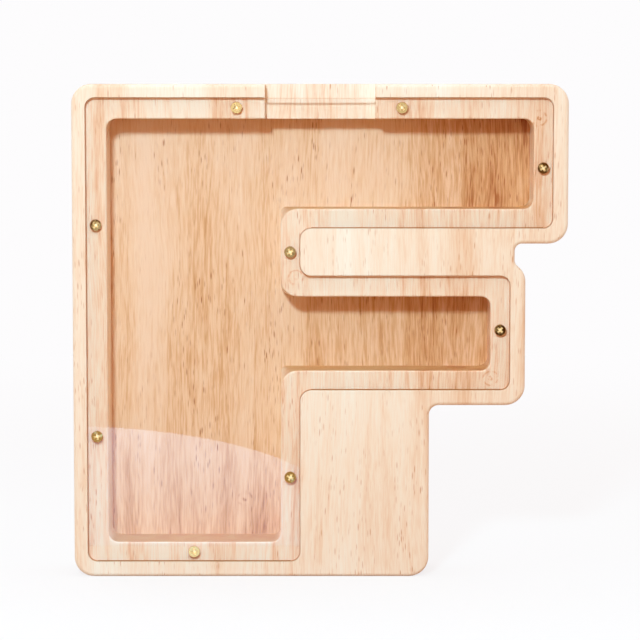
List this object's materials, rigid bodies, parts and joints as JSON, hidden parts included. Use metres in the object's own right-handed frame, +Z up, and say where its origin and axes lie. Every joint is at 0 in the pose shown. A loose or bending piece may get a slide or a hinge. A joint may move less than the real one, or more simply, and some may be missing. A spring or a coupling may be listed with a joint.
{
  "type": "money box",
  "caption": "Letter-shaped upright wooden money box with a screwed-on clear front window and a coin slot cut in the top wall.",
  "frame": {"origin": "on the base plane the box stands on, midway across the width and the depth of the wood", "axes": "+X to the right seen from the front, +Y from the front window to the back, +Z up"},
  "size_m": [0.2, 0.03, 0.2],
  "materials": {
    "wood_frame": "satin clear-lacquered rubberwood",
    "wood_back": "satin clear-lacquered rubberwood",
    "clear_acrylic": "clear polished acrylic sheet",
    "brass_screw": "bright brass"
  },
  "bodies": {
    "case": {"case_frame": "wood_frame", "back_panel": "wood_back"},
    "window": {"clear_window": "clear_acrylic"},
    "screw_top_left": {"window_screw_top_left": "brass_screw"},
    "screw_top_right": {"window_screw_top_right": "brass_screw"},
    "screw_top_bar_end": {"window_screw_top_bar_end": "brass_screw"},
    "screw_left_upper": {"window_screw_left_upper": "brass_screw"},
    "screw_left_lower": {"window_screw_left_lower": "brass_screw"},
    "screw_web": {"window_screw_web": "brass_screw"},
    "screw_middle_bar_end": {"window_screw_middle_bar_end": "brass_screw"},
    "screw_stem_right": {"window_screw_stem_right": "brass_screw"},
    "screw_base": {"window_screw_base": "brass_screw"}
  },
  "joints": [
    {"name": "window_lift", "type": "slide", "parent": "case", "child": "window", "axis": [0, -1, 0], "range_m": [0, 0.06]},
    {"name": "screw_top_left_out", "type": "slide", "parent": "window", "child": "screw_top_left", "axis": [0, -1, 0], "range_m": [0, 0.016]},
    {"name": "screw_top_right_out", "type": "slide", "parent": "window", "child": "screw_top_right", "axis": [0, -1, 0], "range_m": [0, 0.016]},
    {"name": "screw_top_bar_end_out", "type": "slide", "parent": "window", "child": "screw_top_bar_end", "axis": [0, -1, 0], "range_m": [0, 0.016]},
    {"name": "screw_left_upper_out", "type": "slide", "parent": "window", "child": "screw_left_upper", "axis": [0, -1, 0], "range_m": [0, 0.016]},
    {"name": "screw_left_lower_out", "type": "slide", "parent": "window", "child": "screw_left_lower", "axis": [0, -1, 0], "range_m": [0, 0.016]},
    {"name": "screw_web_out", "type": "slide", "parent": "window", "child": "screw_web", "axis": [0, -1, 0], "range_m": [0, 0.016]},
    {"name": "screw_middle_bar_end_out", "type": "slide", "parent": "window", "child": "screw_middle_bar_end", "axis": [0, -1, 0], "range_m": [0, 0.016]},
    {"name": "screw_stem_right_out", "type": "slide", "parent": "window", "child": "screw_stem_right", "axis": [0, -1, 0], "range_m": [0, 0.016]},
    {"name": "screw_base_out", "type": "slide", "parent": "window", "child": "screw_base", "axis": [0, -1, 0], "range_m": [0, 0.016]}
  ]
}
